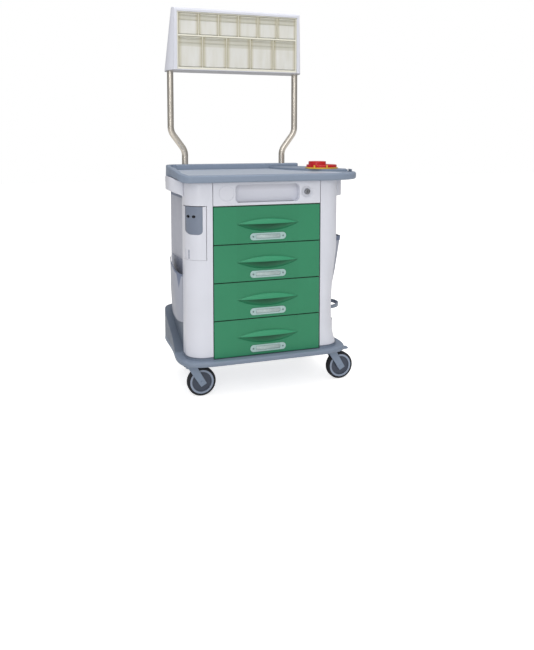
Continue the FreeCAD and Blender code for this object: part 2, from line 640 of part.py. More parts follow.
def make_drawer_tray(top):
    low = top - DRAWER_PITCH + DRAWER_GAP + 12.0
    high = top - 34.0
    tray = box(-TRAY_HALF, TRAY_HALF, FRONT_THICK, TRAY_BACK, low, high)
    tray = round_edges(tray, 6.0, lambda e: is_upright(e) and e.BoundBox.YMin > 400.0)
    room = box(-TRAY_HALF + 2.0, TRAY_HALF - 2.0, FRONT_THICK + 2.0, TRAY_BACK - 2.0, low + 2.5, high + 1.0)
    tray = tray.cut(round_edges(room, 5.0, is_upright))
    middle = top - RUNNER_DROP
    runners = []
    for side in (-1, 1):
        x0, x1 = sorted((side * TRAY_HALF, side * (TRAY_HALF + 8.0)))
        runners.append(box(x0, x1, FRONT_THICK + 4.0, TRAY_BACK - 4.0, middle - RUNNER_HALF_HEIGHT,
                           middle + RUNNER_HALF_HEIGHT))
    return Part.makeCompound([tray] + runners)


def make_drawer_rails(tops):
    rails = []
    for top in tops:
        middle = top - RUNNER_DROP
        outer = box(TRAY_HALF + 2.0, CARCASS_HALF - SHEET, CARCASS_FRONT + 4.0, TRAY_BACK, middle - 18.0,
                    middle + 18.0)
        groove = box(TRAY_HALF, TRAY_HALF + 12.0, CARCASS_FRONT, TRAY_BACK + 5.0, middle - 14.0,
                     middle + 14.0)
        rail = outer.cut(groove)
        rails.append(rail)
        rails.append(mirrored(rail))
    return Part.makeCompound(rails)


# ---------------------------------------------------------------- worktop and its fittings

def scaled_outline(scale_x, scale_y):
    """Worktop outline drawn in toward its middle."""
    mid_x, mid_y = OUTLINE_MIDDLE
    return [(mid_x + (x - mid_x) * scale_x, mid_y + (y - mid_y) * scale_y) for x, y in TOP_OUTLINE]


def make_left_rim(tray):
    """Raised left edge of the worktop, from the front corner to the upstand."""
    low = CABINET_TOP + 14.0
    loop = smooth_loop(scaled_outline(LEFT_RIM_INSET, LEFT_RIM_INSET), low)
    solid = Part.Face(loop).extrude(Vector(0, 0, 60.0))
    (front_y, _), (back_y, _) = LEFT_RIM_RISE[0], LEFT_RIM_RISE[-1]
    profile = LEFT_RIM_RISE + ((back_y, low), (front_y, low))
    rim = solid.common(side_prism(profile, -400.0, -300.0))

    def is_outer_top(edge):
        bounds = edge.BoundBox
        on_top = bounds.ZMin > RIM_Z - 0.5
        return on_top and bounds.YLength > 5.0 and bounds.XMax < -301.0

    return round_edges(rim, 6.0, is_outer_top).cut(tray)


def make_finger_room():
    """Space above the left push handle, sloping up and outward under the worktop."""
    (front_y, low), (back_y, high) = FINGER_ROOM_RISE[0], FINGER_ROOM_RISE[-1]
    slope = ((-FINGER_ROOM_X, low - 20.0), (-FINGER_ROOM_X, low), (-420.0, low + 70.0 * HANDLE_LIFT),
             (-420.0, low - 20.0))
    ramp = FINGER_ROOM_RISE + ((back_y, low - 20.0), (front_y, low - 20.0))
    return front_prism(slope, front_y, back_y).common(side_prism(ramp, -420.0, -FINGER_ROOM_X))


def make_worktop():
    outline = Part.Face(smooth_loop(TOP_OUTLINE, CABINET_TOP))
    slab = outline.extrude(Vector(0, 0, RIM_Z - CABINET_TOP))
    slab = round_edges(slab, 9.0, lies_at_z(RIM_Z))
    slab = round_edges(slab, 8.0, lies_at_z(CABINET_TOP))
    tray = plan_prism(TRAY_OUTLINE, TRAY_FLOOR_Z, UPSTAND_Z + 20.0)
    tray = round_edges(tray, 24.0, is_upright)
    tray = round_edges(tray, 12.0, lies_at_z(TRAY_FLOOR_Z))
    slab = slab.cut(tray)
    inner = Part.Face(smooth_loop(scaled_outline(*PLATFORM_INSET), CABINET_TOP + 10.0))
    platform = plan_prism(PLATFORM_OUTLINE, RIM_Z - 4.0, PLATFORM_Z)
    platform = platform.common(inner.extrude(Vector(0, 0, 90.0)))
    upstand = box(-316.0, 335.0, 482.0, 525.5, RIM_Z - 6.0, UPSTAND_Z)
    upstand = round_edges(upstand, 15.0, is_upright)
    upstand = round_edges(upstand, 6.0, lies_at_z(UPSTAND_Z))
    top = join([slab, platform, upstand, make_left_rim(tray)]).cut(make_finger_room())
    for x in (-TUBE_LOW_X, TUBE_LOW_X):
        top = top.cut(cylinder((x, TUBE_Y, TUBE_BOTTOM), TUBE_RADIUS + RUN_FIT, 90.0, (0, 0, 1)))
    top = top.cut(cylinder((SHARPS_X, SHARPS_Y, 900.0), 61.0, 100.0, (0, 0, 1)))
    near, far = Vector(424.0, 62.0, 900.0), Vector(440.0, 150.0, 900.0)
    along = (far - near).normalize()
    across = Vector(-along.y, along.x, 0) * 9.0
    corners = [near + across, near - across, far - across, far + across]
    slot = plan_prism([(p.x, p.y) for p in corners], 900.0, 1000.0)
    ends = [cylinder((p.x, p.y, 900.0), 9.0, 100.0, (0, 0, 1)) for p in (near, far)]
    return top.cut(join([slot] + ends))


def make_sharps_tub():
    bowl = cylinder((SHARPS_X, SHARPS_Y, 929.0), 60.0, PLATFORM_Z - 929.0, (0, 0, 1))
    brim = cylinder((SHARPS_X, SHARPS_Y, PLATFORM_Z), SHARPS_BRIM, 6.0, (0, 0, 1))
    brim = round_edges(brim, 1.5, lambda e: e.BoundBox.XLength > 100.0)
    tabs = []
    for angle in SHARPS_TAB_ANGLES:
        tab = box(SHARPS_BRIM - 4.5, SHARPS_BRIM - 1.5, -3.5, 3.5, PLATFORM_Z + 4.0, PLATFORM_Z + 17.0)
        tab.rotate(Vector(0, 0, 0), Vector(0, 0, 1), angle)
        tab.translate(Vector(SHARPS_X, SHARPS_Y, 0))
        tabs.append(tab)
    tub = join([bowl, brim] + tabs)
    return tub.cut(cylinder((SHARPS_X, SHARPS_Y, 931.5), 57.5, 60.0, (0, 0, 1)))


def make_sharps_lid():
    low = PLATFORM_Z + 6.5
    disc = cylinder((SHARPS_X, SHARPS_Y, low), SHARPS_BRIM - 5.5, 12.0, (0, 0, 1))
    disc = round_edges(disc, 3.0, lambda e: lies_at_z(low + 12.0)(e) and e.BoundBox.XLength > 100.0)
    spigot = cylinder((SHARPS_X, SHARPS_Y, low - 14.0), 57.0, 15.0, (0, 0, 1))
    spigot = spigot.cut(cylinder((SHARPS_X, SHARPS_Y, low - 15.0), 54.0, 15.0, (0, 0, 1)))
    cap = cylinder((SHARPS_X - 28.0, SHARPS_Y - 13.0, low + 11.0), SHARPS_CAP, 17.0, (0, 0, 1))
    cap = round_edges(cap, 3.0, lies_at_z(low + 28.0))
    return join([disc, spigot, cap])


def handle_curve(offset, z):
    """Plan curve of the right push handle, moved inward by offset."""
    points = [Vector(x + in_x * offset, y + in_y * offset, z) for x, y, in_x, in_y in HANDLE_LINE]
    curve = Part.BSplineCurve()
    curve.interpolate(points)
    return points, curve.toShape()


def make_push_handle(low, lift):
    """Right push handle; lift is its rise for each millimetre outward."""
    outer_points, outer = handle_curve(0.0, low)
    inner_points, inner = handle_curve(HANDLE_THICK, low)
    ends = [Part.makeLine(outer_points[-1], inner_points[-1]),
            Part.makeLine(inner_points[0], outer_points[0])]
    outline = Part.Wire(Part.__sortEdges__([outer, ends[0], inner, ends[1]]))
    band = Part.Face(outline).extrude(Vector(0, 0, HANDLE_HIGH - low))
    band = round_edges(band, 4.0, lambda e: e.BoundBox.ZLength < 1e-3 and e.BoundBox.YLength > 100.0)
    if lift:
        slant = FreeCAD.Matrix()
        slant.A31 = lift
        slant.A34 = -lift * HANDLE_ROOT_X
        band = band.transformGeometry(slant)
    return band.cut(column_solid(0.0, 800.0, 940.0)).cut(box(300.0, SIDE_X, 100.0, 400.0, 800.0, 940.0))


# ---------------------------------------------------------------- side fittings

def tall_pocket_wire(reach, inset, z):
    """Plan outline of the left pocket, drawn on the right: a short return, then a long bulge."""
    flat = SIDE_X + inset
    rise = reach - inset - flat
    low = POCKET_FRONT + inset
    span = TALL_POCKET_BACK - inset - low
    start = Vector(flat, low, z)
    shoulder = Vector(flat + rise * 0.35, low, z)
    finish = Vector(flat, low + span, z)
    bulge = Part.BSplineCurve()
    bulge.interpolate([shoulder, Vector(flat + rise * 0.8, low + span * 0.08, z),
                       Vector(flat + rise, low + span * 0.35, z),
                       Vector(flat + rise * 0.62, low + span * 0.75, z), finish])
    return Part.Wire([Part.makeLine(start, shoulder), bulge.toShape(), Part.makeLine(finish, start)])


def box_pocket_wire(reach, inset, z):
    """Plan outline of the right pocket: a box with two rounded outer corners."""
    radius = BOX_POCKET_CORNER - inset
    x0, x1 = SIDE_X + inset, reach - inset
    y0, y1 = POCKET_FRONT + inset, BOX_POCKET_BACK - inset
    bow = radius * (1.0 - math.sqrt(0.5))
    low_arc = (Vector(x1 - radius, y0, z), Vector(x1 - bow, y0 + bow, z), Vector(x1, y0 + radius, z))
    high_arc = (Vector(x1, y1 - radius, z), Vector(x1 - bow, y1 - bow, z), Vector(x1 - radius, y1, z))
    return Part.Wire([Part.makeLine(Vector(x0, y0, z), low_arc[0]), Part.Arc(*low_arc).toShape(),
                      Part.makeLine(low_arc[2], high_arc[0]), Part.Arc(*high_arc).toShape(),
                      Part.makeLine(high_arc[2], Vector(x0, y1, z)),
                      Part.makeLine(Vector(x0, y1, z), Vector(x0, y0, z))])


def make_pocket(outline, levels, rim):
    """Hollow pocket lofted through its levels and cut off above its rim."""
    outer = Part.makeLoft([outline(reach, 0.0, z) for z, reach in levels], True, True)
    (floor_z, floor_reach), raised = levels[0], levels[1:]
    lifted = ((floor_z + POCKET_WALL, floor_reach),) + raised
    inner = Part.makeLoft([outline(reach, POCKET_WALL, z) for z, reach in lifted], True, True)
    return outer.cut(inner).cut(side_prism(rim, 300.0, 460.0))


def make_side_pockets():
    tall = make_pocket(tall_pocket_wire, TALL_POCKET_LEVELS, TALL_POCKET_RIM)
    left = mirrored(join([tall, side_prism(TALL_POCKET_PLATE, SIDE_X, SIDE_X + POCKET_WALL)]))
    right = make_pocket(box_pocket_wire, BOX_POCKET_LEVELS, BOX_POCKET_RIM)
    return Part.makeCompound([left, right])


def half_band(radius, wall, z0, z1):
    """Band standing out from the right side skin as a part circle."""
    band = cylinder((BOTTLE_X, BOTTLE_Y, z0), radius, z1 - z0, (0, 0, 1))
    band = band.cut(cylinder((BOTTLE_X, BOTTLE_Y, z0 - 1.0), radius - wall, z1 - z0 + 2.0, (0, 0, 1)))
    return band.cut(box(200.0, SIDE_X, 100.0, 300.0, z0 - 2.0, z1 + 2.0))


def make_bottle_ring():
    low, high = BOTTLE_RING_Z
    ring = half_band(BOTTLE_RING_RADIUS, 6.0, low, high)
    half = BOTTLE_RING_RADIUS - 2.0
    plate = box(SIDE_X, SIDE_X + 4.0, BOTTLE_Y - half, BOTTLE_Y + half, low - 8.0, high + 8.0)
    return join([ring, plate])


def make_bottle_cup():
    wall = half_band(BOTTLE_CUP_RADIUS, 4.0, DECK_Z, 250.0)
    floor = cylinder((BOTTLE_X, BOTTLE_Y, DECK_Z), BOTTLE_CUP_RADIUS - 1.0, 4.0, (0, 0, 1))
    floor = floor.cut(box(200.0, SIDE_X, 100.0, 300.0, 100.0, 300.0))
    return join([wall, floor])


# ---------------------------------------------------------------- bridge

def tube_path():
    """Centre line of the right upright with its two bends."""
    corners = [Vector(TUBE_LOW_X, TUBE_Y, TUBE_BOTTOM), Vector(TUBE_LOW_X, TUBE_Y, TUBE_BEND_LOW),
               Vector(TUBE_HIGH_X, TUBE_Y, TUBE_BEND_HIGH), Vector(TUBE_HIGH_X, TUBE_Y, TUBE_TOP)]
    edges = []
    start = corners[0]
    for before, here, after in zip(corners, corners[1:], corners[2:]):
        inward = (before - here).normalize()
        onward = (after - here).normalize()
        half_turn = (math.pi - inward.getAngle(onward)) / 2.0
        tangent = TUBE_BEND_RADIUS * math.tan(half_turn)
        arc_start = here + inward * tangent
        arc_end = here + onward * tangent
        middle_way = (inward + onward).normalize()
        middle = here + middle_way * TUBE_BEND_RADIUS * (1.0 / math.cos(half_turn) - 1.0)
        edges.append(Part.makeLine(start, arc_start))
        edges.append(Part.Arc(arc_start, middle, arc_end).toShape())
        start = arc_end
    edges.append(Part.makeLine(start, corners[-1]))
    return Part.Wire(edges)


def make_upright():
    path = tube_path()
    shapes = []
    for radius in (TUBE_RADIUS, TUBE_RADIUS - TUBE_WALL):
        circle = Part.makeCircle(radius, Vector(TUBE_LOW_X, TUBE_Y, TUBE_BOTTOM), Vector(0, 0, 1))
        shapes.append(path.makePipeShell([Part.Wire([circle])], True, False))
    return shapes[0].cut(shapes[1])


def housing_profile(inset):
    slope = (HOUSING_BACK_LOW - HOUSING_BACK_HIGH) / (HOUSING_HIGH - HOUSING_LOW)
    low, high = HOUSING_LOW + inset, HOUSING_HIGH - inset
    back_low = HOUSING_BACK_LOW - slope * inset - inset * 1.05
    back_high = HOUSING_BACK_HIGH + slope * inset - inset * 1.05
    return ((HOUSING_FRONT + inset, low), (back_low, low), (back_high, high), (HOUSING_FRONT + inset, high))


def housing_wire(cheek, z):
    """Plan outline of the bin housing: flat front and back with curved cheeks."""
    right = Part.BSplineCurve()
    right.interpolate([Vector(x, y, z) for x, y in cheek])
    left = mirrored(right.toShape())
    (front_x, front_y), (back_x, back_y) = cheek[0], cheek[-1]
    front = Part.makeLine(Vector(-front_x, front_y, z), Vector(front_x, front_y, z))
    back = Part.makeLine(Vector(back_x, back_y, z), Vector(-back_x, back_y, z))
    return Part.Wire([front, right.toShape(), back, left])


def cheek_wire(cheek, z):
    """Plan outline of the hollow inside one cheek."""
    inner_x = FRAME_HALF + 3.5
    wall = HOUSING_WALL + 1.0
    points = [(inner_x, cheek[0][1] + wall)]
    points += [(x - wall, y) for x, y in cheek[1:-1]]
    points += [(cheek[-1][0] - wall, cheek[-1][1] - wall), (inner_x, cheek[-1][1] - wall)]
    points.insert(1, (cheek[0][0] - wall, cheek[0][1] + wall))
    corners = [Vector(x, y, z) for x, y in points]
    return Part.makePolygon(corners + [corners[0]])


def make_housing():
    body = Part.makeLoft([housing_wire(CHEEK_LOW, HOUSING_LOW), housing_wire(CHEEK_HIGH, HOUSING_HIGH)],
                         True, True)
    body = round_edges(body, 10.0, lambda e: lies_at_z(HOUSING_HIGH)(e) and e.BoundBox.XLength > 600.0)
    room = side_prism(housing_profile(HOUSING_WALL), -FRAME_HALF, FRAME_HALF)
    strip = box(-FRAME_HALF, FRAME_HALF, HOUSING_FRONT - 5.0, 600.0, FRAME_LOW, FRAME_HIGH)
    front_hole = box(-FRAME_HALF, FRAME_HALF, HOUSING_FRONT - 5.0, HOUSING_FRONT + 20.0, FRAME_LOW,
                     FRAME_HIGH)
    body = body.cut(room.common(strip)).cut(front_hole)
    cavity = Part.makeLoft([cheek_wire(CHEEK_LOW, HOUSING_LOW + HOUSING_WALL),
                            cheek_wire(CHEEK_HIGH, HOUSING_HIGH - 8.0)], True, True)
    cavity = cavity.common(box(0.0, 400.0, 400.0, 600.0, SOCKET_TOP, HOUSING_HIGH))
    body = body.cut(cavity).cut(mirrored(cavity))
    for x in (-TUBE_HIGH_X, TUBE_HIGH_X):
        body = body.cut(cylinder((x, TUBE_Y, HOUSING_LOW - 10.0), TUBE_RADIUS + RUN_FIT,
                                 TUBE_TOP + 10.0 - HOUSING_LOW, (0, 0, 1)))
    return body


def bin_places():
    """Each bin as (row, number, low x, high x, floor z, ceiling z, depth behind the pivot)."""
    places = []
    for row, count, floor, ceiling, depth in BIN_ROWS:
        pitch = (2.0 * FRAME_HALF - 10.0) / count
        for number in range(count):
            low_x = -FRAME_HALF + 5.0 + number * pitch
            places.append((row, number + 1, low_x + 1.5, low_x + pitch - 1.5, floor, ceiling, depth))
    return places


def make_bin_frame():
    slab = side_prism(housing_profile(HOUSING_WALL), -FRAME_HALF, FRAME_HALF)
    slab = slab.common(box(-FRAME_HALF, FRAME_HALF, FRAME_FRONT, 600.0, FRAME_LOW, FRAME_HIGH))
    for _, _, x0, x1, floor, ceiling, _ in bin_places():
        slab = slab.cut(box(x0, x1, FRAME_FRONT - 5.0, 620.0, floor, ceiling))
    for _, count, floor, _, _ in BIN_ROWS:
        pivot_z = floor + 1.5 + BIN_PIVOT_INSET
        bore = cylinder((-FRAME_HALF + 3.0, FRAME_FRONT + BIN_PIVOT_INSET, pivot_z), PEG_RADIUS + RUN_FIT,
                        2.0 * FRAME_HALF - 6.0, (1, 0, 0))
        slab = slab.cut(bore)
    return slab


def bin_body(x0, x1, pivot_y, pivot_z, depth, sweep, inset):
    """Tub whose back top follows a circle about its pivot, so that it can tip out."""
    edge = BIN_PIVOT_INSET - inset
    sides = box(x0 + inset, x1 - inset, pivot_y - edge, pivot_y + depth - inset, pivot_z - edge,
                pivot_z + 300.0)
    swing = cylinder((x0, pivot_y, pivot_z), sweep - inset, x1 - x0, (1, 0, 0))
    return sides.common(swing)


def make_bin(x0, x1, floor, ceiling, depth):
    pivot_y = FRAME_FRONT + BIN_PIVOT_INSET
    pivot_z = floor + 1.5 + BIN_PIVOT_INSET
    sweep = ceiling - 1.5 - pivot_z
    left, right = x0 + 0.8, x1 - 0.8
    tub = bin_body(left, right, pivot_y, pivot_z, depth, sweep, 0.0)
    nose = box(x0 - 1.0, x1 + 1.0, pivot_y - 6.0, pivot_y, pivot_z - 6.0, pivot_z)
    nose = nose.cut(cylinder((x0 - 2.0, pivot_y, pivot_z), BIN_PIVOT_INSET, x1 - x0 + 4.0, (1, 0, 0)))
    tub = tub.cut(nose)
    room = bin_body(left, right, pivot_y, pivot_z, depth, sweep + 60.0, BIN_WALL)
    tub = tub.cut(room)
    # grip along the top of the front, proud of the face, with a label groove below it
    top = pivot_z + math.sqrt(sweep ** 2 - (BIN_PIVOT_INSET + 6.0) ** 2) - 0.5
    grip = box(left + 4.0, right - 4.0, pivot_y - 11.0, pivot_y - 4.0, top - 6.0, top)
    ledge = box(left + 4.0, right - 4.0, pivot_y - 7.5, pivot_y - 4.0, top - 30.0, top - 27.0)
    pegs = [cylinder((x, pivot_y, pivot_z), PEG_RADIUS, 2.8, (1, 0, 0)) for x in (left - 1.8, right - 1.0)]
    return join([tub, grip, ledge] + pegs)


# ---------------------------------------------------------------- writing the parts

def collect():
    tops = [DRAWER_TOP - index * DRAWER_PITCH for index in range(DRAWER_COUNT)]
    left_handle = make_push_handle(LEFT_HANDLE_LOW, HANDLE_LIFT)
    right_handle = make_push_handle(RIGHT_HANDLE_LOW, 0.0)
    panel = make_side_panel()
    upright = make_upright()
    parts = {
        "base": make_base(),
        "caster_heads": make_caster_heads(),
        "carcass": make_carcass(),
        "column_left": make_column_left(),
        "column_right": make_column_right(),
        "column_door": make_column_door(),
        "door_insert": make_door_insert(),
        "side_panels": Part.makeCompound([mirrored(panel), panel]),
        "panel_screws": make_panel_screws(),
        "fascia": make_fascia(),
        "lock_housing": make_lock_housing(),
        "lock_core": make_lock_core(),
        "drawer_rails": make_drawer_rails(tops),
        "worktop": make_worktop(),
        "push_handles": Part.makeCompound([mirrored(left_handle), right_handle]),
        "side_pockets": make_side_pockets(),
        "bottle_ring": make_bottle_ring(),
        "bottle_cup": make_bottle_cup(),
        "sharps_tub": make_sharps_tub(),
        "sharps_lid": make_sharps_lid(),
        "uprights": Part.makeCompound([mirrored(upright), upright]),
        "bin_housing": make_housing(),
        "bin_frame": make_bin_frame(),
    }
    for index, top in enumerate(tops):
        parts["drawer_front_%d" % (index + 1)] = make_drawer_front(top)
        parts["drawer_tray_%d" % (index + 1)] = make_drawer_tray(top)
        parts["label_holder_%d" % (index + 1)] = make_label_holder(top)
    for row, number, x0, x1, floor, ceiling, depth in bin_places():
        parts["tilt_bin_%s_%d" % (row, number)] = make_bin(x0, x1, floor, ceiling, depth)
    for name, x, y in CASTERS:
        parts["caster_fork_%s" % name] = make_fork(x, y, name in BRAKED)
        parts["caster_tyre_%s" % name] = make_tyre(x, y)
        parts["wheel_centre_%s" % name] = make_wheel_centre(x, y)
        if name in BRAKED:
            parts["brake_pedal_%s" % name] = make_pedal(x, y)
    return parts


os.makedirs("parts", exist_ok=True)
for node, shape in collect().items():
    shape.translate(Vector(-ORIGIN_X, -ORIGIN_Y, 0))
    shape.exportStep("parts/%s.step" % node)
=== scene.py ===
import json
import math

import bmesh
import bpy
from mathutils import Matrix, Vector


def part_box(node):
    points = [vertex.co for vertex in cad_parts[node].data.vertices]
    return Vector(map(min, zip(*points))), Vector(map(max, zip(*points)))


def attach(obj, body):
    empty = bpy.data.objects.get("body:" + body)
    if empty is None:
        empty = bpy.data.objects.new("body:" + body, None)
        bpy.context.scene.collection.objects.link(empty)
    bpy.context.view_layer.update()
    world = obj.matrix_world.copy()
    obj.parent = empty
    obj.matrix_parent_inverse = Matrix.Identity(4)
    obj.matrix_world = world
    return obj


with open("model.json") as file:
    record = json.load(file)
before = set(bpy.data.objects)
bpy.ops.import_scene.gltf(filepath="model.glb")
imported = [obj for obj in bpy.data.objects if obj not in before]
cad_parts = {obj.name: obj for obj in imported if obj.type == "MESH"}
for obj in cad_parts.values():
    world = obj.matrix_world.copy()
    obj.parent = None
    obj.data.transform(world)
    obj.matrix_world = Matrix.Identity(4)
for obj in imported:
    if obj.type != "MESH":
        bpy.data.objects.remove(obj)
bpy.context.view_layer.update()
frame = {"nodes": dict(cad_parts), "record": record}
NODES = frame["nodes"]

# The cabinet's own zero: the middle of its width and the plane of its drawer fronts.
CARCASS_LOW, CARCASS_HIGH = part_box("carcass")
CARCASS_FRONT = 0.022
CAB_X = (CARCASS_LOW[0] + CARCASS_HIGH[0]) / 2.0
CAB_Y = CARCASS_LOW[1] - CARCASS_FRONT

# Places of the painted zones, in millimetres from the cabinet's zero.
DRAWER_TOP = 824.0
DRAWER_PITCH = 163.2
GRIP_HALF = 142.0           # half width of the finger hold
LABEL_MIDDLE = 690.5        # height of the first label holder
LABEL_SCREW = 68.0
FASCIA_FOOT = 827.0
HANDLE_SHADOW_FOOT = 848.0           # foot of the painted shadow under the left push handle
POCKET_FACE = -341.0        # inner side of the tall pocket's front
POCKET_PLATE_LOW = 500.0
POCKET_BEAD_LOW = 511.0     # at the front end of the rim, which rises to the rear
NOTCH_MIDDLE = 137.0
NOTCH_TIP = 458.0
NOTCH_SLOPE = 5.0
RIGHT_RIM_LOW = 635.3
COLUMN_REAR = 118.0
APRON_TOP = 168.0           # outer lip of the base
WING_LOW = 174.0            # wing and kick plate of the base
PLINTH_JOINT = 180.0
WORKTOP_LOW = 900.0
SOCKETS = ((-341.0, 4.6), (-323.0, 6.6))    # lock holes of the door insert: place, half width
SOCKET_HEIGHT = 784.0
SOCKET_HALF_HEIGHT = 6.2
CATCH_PLACE = -340.0        # finger catch of the column door
CATCH_HEIGHT = 624.0
CHEEK_SIDE = 311.0
CHEEK_FRONT = 427.0
HOUSING_FOOT = 1431.0

# Wheels and label cards, in metres.
RIM_RING_RADIUS = 0.0435
HUB_RADIUS = 0.0152
CARD_WIDTH = 0.110
CARD_HEIGHT = 0.0172
CARD_CORNER = 0.004
CARD_SETBACK = 0.0022
CARD_THICK = 0.0005
CARD_BOW = 0.0003

RANGE_SOCKETS = ("From Min", "From Max", "To Min", "To Max")


def cab(x, y, z):
    """Millimetres in the cabinet's own frame, as a point of the row frame."""
    return Vector((CAB_X + x / 1000.0, CAB_Y + y / 1000.0, z / 1000.0))


# ------------------------------------------------------------------ materials

class Surface:
    """A node material on Principled BSDF, with helpers for the detail every surface gets."""

    def __init__(self, name, roughness, metallic=0.0, coat=0.0):
        self.material = bpy.data.materials.new(name)
        self.material.use_nodes = True
        self.tree = self.material.node_tree
        self.shader = self.tree.nodes["Principled BSDF"]
        self.shader.inputs["Roughness"].default_value = roughness
        self.shader.inputs["Metallic"].default_value = metallic
        self.shader.inputs["Coat Weight"].default_value = coat
        self.shader.inputs["Coat Roughness"].default_value = 0.12
        self.coords = self.node("ShaderNodeTexCoord").outputs["Object"]
        self.rounded = None

    def node(self, kind, **settings):
        node = self.tree.nodes.new(kind)
        for key, value in settings.items():
            setattr(node, key, value)
        return node

    def link(self, source, target):
        self.tree.links.new(source, target)

    def stretched(self, scale):
        mapping = self.node("ShaderNodeMapping")
        mapping.inputs["Scale"].default_value = scale
        self.link(self.coords, mapping.inputs["Vector"])
        return mapping.outputs["Vector"]

    def noise(self, scale, detail=3.0, stretch=None, distortion=0.0):
        noise = self.node("ShaderNodeTexNoise")
        noise.inputs["Scale"].default_value = scale
        noise.inputs["Detail"].default_value = detail
        noise.inputs["Distortion"].default_value = distortion
        self.link(self.stretched(stretch) if stretch else self.coords, noise.inputs["Vector"])
        return noise.outputs["Fac"]

    def remap(self, value, low, high, to_low, to_high):
        ramp = self.node("ShaderNodeMapRange")
        for key, number in zip(RANGE_SOCKETS, (low, high, to_low, to_high)):
            ramp.inputs[key].default_value = number
        self.link(value, ramp.inputs["Value"])
        return ramp.outputs["Result"]

    def step(self, value, edge, soft):
        """0 below the edge, 1 above it."""
        return self.remap(value, edge - soft, edge + soft, 0.0, 1.0)

    def below(self, value, edge, soft):
        """1 below the edge, 0 above it."""
        return self.math("SUBTRACT", 1.0, self.step(value, edge, soft))

    def polyline(self, value, points):
        """The height of a line of straight pieces through the (value, height) points."""
        total = points[0][1]
        for (start, low), (end, high) in zip(points, points[1:]):
            total = self.math("ADD", self.remap(value, start, end, 0.0, high - low), total)
        return total

    def mix(self, factor, first, second):
        mixer = self.node("ShaderNodeMix", data_type="RGBA")
        sockets = mixer.inputs["Factor"], mixer.inputs[6], mixer.inputs[7]
        for socket, value in zip(sockets, (factor, first, second)):
            if isinstance(value, bpy.types.NodeSocket):
                self.link(value, socket)
            else:
                socket.default_value = value if isinstance(value, float) else (*value, 1.0)
        return mixer.outputs[2]

    def math(self, operation, first, second=0.0):
        node = self.node("ShaderNodeMath", operation=operation)
        for socket, value in zip(node.inputs, (first, second)):
            if isinstance(value, bpy.types.NodeSocket):
                self.link(value, socket)
            else:
                socket.default_value = value
        return node.outputs["Value"]

    def squares(self, first, second):
        """The two values squared and added."""
        return self.math("ADD", self.math("MULTIPLY", first, first),
                         self.math("MULTIPLY", second, second))

    def axis(self, name):
        split = self.node("ShaderNodeSeparateXYZ")
        self.link(self.coords, split.inputs["Vector"])
        return split.outputs[name]

    def place(self, name):
        """Distance along an axis from the cabinet's zero, in millimetres."""
        zero = {"X": CAB_X, "Y": CAB_Y, "Z": 0.0}[name]
        return self.math("MULTIPLY", self.math("SUBTRACT", self.axis(name), zero), 1000.0)

    def edges(self, radius):
        """1 on sharp edges, 0 on flats; the same lookup rounds the shading there."""
        bevel = self.node("ShaderNodeBevel", samples=6)
        bevel.inputs["Radius"].default_value = radius
        self.rounded = bevel.outputs["Normal"]
        geometry = self.node("ShaderNodeNewGeometry")
        dot = self.node("ShaderNodeVectorMath", operation="DOT_PRODUCT")
        self.link(self.rounded, dot.inputs[0])
        self.link(geometry.outputs["Normal"], dot.inputs[1])
        return self.remap(dot.outputs["Value"], 0.99, 0.80, 0.0, 1.0)

    def creases(self, distance):
        """1 deep in a gap or corner, 0 in the open."""
        shade = self.node("ShaderNodeAmbientOcclusion", samples=6)
        shade.inputs["Distance"].default_value = distance
        return self.remap(shade.outputs["AO"], 0.25, 0.85, 1.0, 0.0)

    def colour(self, value):
        self.link(value, self.shader.inputs["Base Color"])

    def rough(self, value):
        self.link(value, self.shader.inputs["Roughness"])

    def bump(self, height, strength, distance):
        node = self.node("ShaderNodeBump")
        node.inputs["Strength"].default_value = strength
        node.inputs["Distance"].default_value = distance
        self.link(height, node.inputs["Height"])
        if self.rounded:
            self.link(self.rounded, node.inputs["Normal"])
        self.link(node.outputs["Normal"], self.shader.inputs["Normal"])


def tone(colour, factor):
    return tuple(min(1.0, channel * factor) for channel in colour)


def srgb(red, green, blue):
    """Linear colour from 8-bit display values."""
    result = []
    for value in (red, green, blue):
        unit = value / 255.0
        result.append(unit / 12.92 if unit <= 0.04045 else ((unit + 0.055) / 1.055) ** 2.4)
    return tuple(result)


def moulded(name, colour, roughness=0.42, grain=0.10, grain_scale=1400.0, coat=0.0, scuff=0.06,
            zones=None, edge=0.0012, crease_shade=0.55):
    """Moulded plastic: faint flow variation, spark-eroded grain, handling scuffs, sharp edges lightened
    partly as wear and partly as a painted highlight, and painted shade in the gaps and corners.
    zones(surface, shade) lays other colours over parts of it."""
    surface = Surface(name, roughness, coat=coat)
    flow = surface.remap(surface.noise(5.0, 2.0), 0.3, 0.7, 0.0, 1.0)
    shade = surface.mix(flow, tone(colour, 0.965), tone(colour, 1.025))
    if zones:
        shade = zones(surface, shade)
    streaks = surface.noise(55.0, 6.0, stretch=(1.0, 1.0, 5.0), distortion=0.6)
    worn = surface.remap(streaks, 0.62, 0.78, 0.0, scuff * 1.6)
    shade = surface.mix(worn, shade, tone(colour, 0.80))
    # Painted shade: gaps and corners are darkened, found with an occlusion lookup.
    shade = surface.mix(surface.math("MULTIPLY", surface.creases(0.010), crease_shade), shade, tone(colour, 0.35))
    # Sharp edges lightened: partly wear, partly a painted highlight.
    shade = surface.mix(surface.math("MULTIPLY", surface.edges(edge), 0.45), shade, tone(colour, 1.22))
    surface.colour(shade)
    cloud = surface.noise(28.0, 4.0)
    surface.rough(surface.remap(cloud, 0.3, 0.7, roughness - scuff, roughness + scuff))
    surface.bump(surface.noise(grain_scale, 2.0), grain, 0.0004)
    return surface


